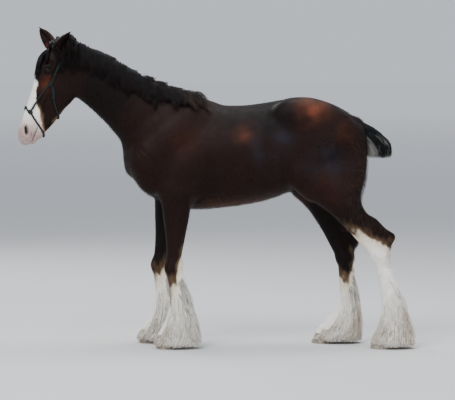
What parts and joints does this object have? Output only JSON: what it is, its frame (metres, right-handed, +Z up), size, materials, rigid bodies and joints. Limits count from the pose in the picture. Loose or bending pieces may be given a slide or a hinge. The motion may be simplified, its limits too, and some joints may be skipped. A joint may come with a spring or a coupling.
{
  "type": "horse model",
  "caption": "Life-size standing model of a young Clydesdale horse with feathered legs, short tail and a rope halter, head turned a little to its left.",
  "frame": {"origin": "on the floor, under the middle of the whole model", "axes": "-X is the way the horse faces, -Y its left (near) side, +Z up"},
  "size_m": [2.1257, 0.4484, 1.7062],
  "materials": {
    "coat": "short dark bay coat, satin sheen",
    "black_hair": "long black hair",
    "feather": "long white hair",
    "hoof": "pale horn, matt",
    "eye": "wet, glossy",
    "rope": "dark green braided rope"
  },
  "bodies": {
    "root": {"torso": "coat", "neck": "coat", "head": "coat", "ear_left": "coat", "ear_right": "coat", "eye_left": "eye", "eye_right": "eye", "tail": "black_hair", "forearm_left": "coat", "forearm_right": "coat", "gaskin_left": "coat", "gaskin_right": "coat", "hock_left": "feather", "hock_right": "feather", "cannon_front_left": "feather", "cannon_front_right": "feather", "cannon_hind_left": "feather", "cannon_hind_right": "feather", "hoof_front_left": "hoof", "hoof_front_right": "hoof", "hoof_hind_left": "hoof", "hoof_hind_right": "hoof", "halter_nose": "rope", "halter_crown": "rope", "halter_throat": "rope", "halter_chin": "rope", "halter_cheek_left": "rope", "halter_cheek_right": "rope"}
  },
  "joints": []
}
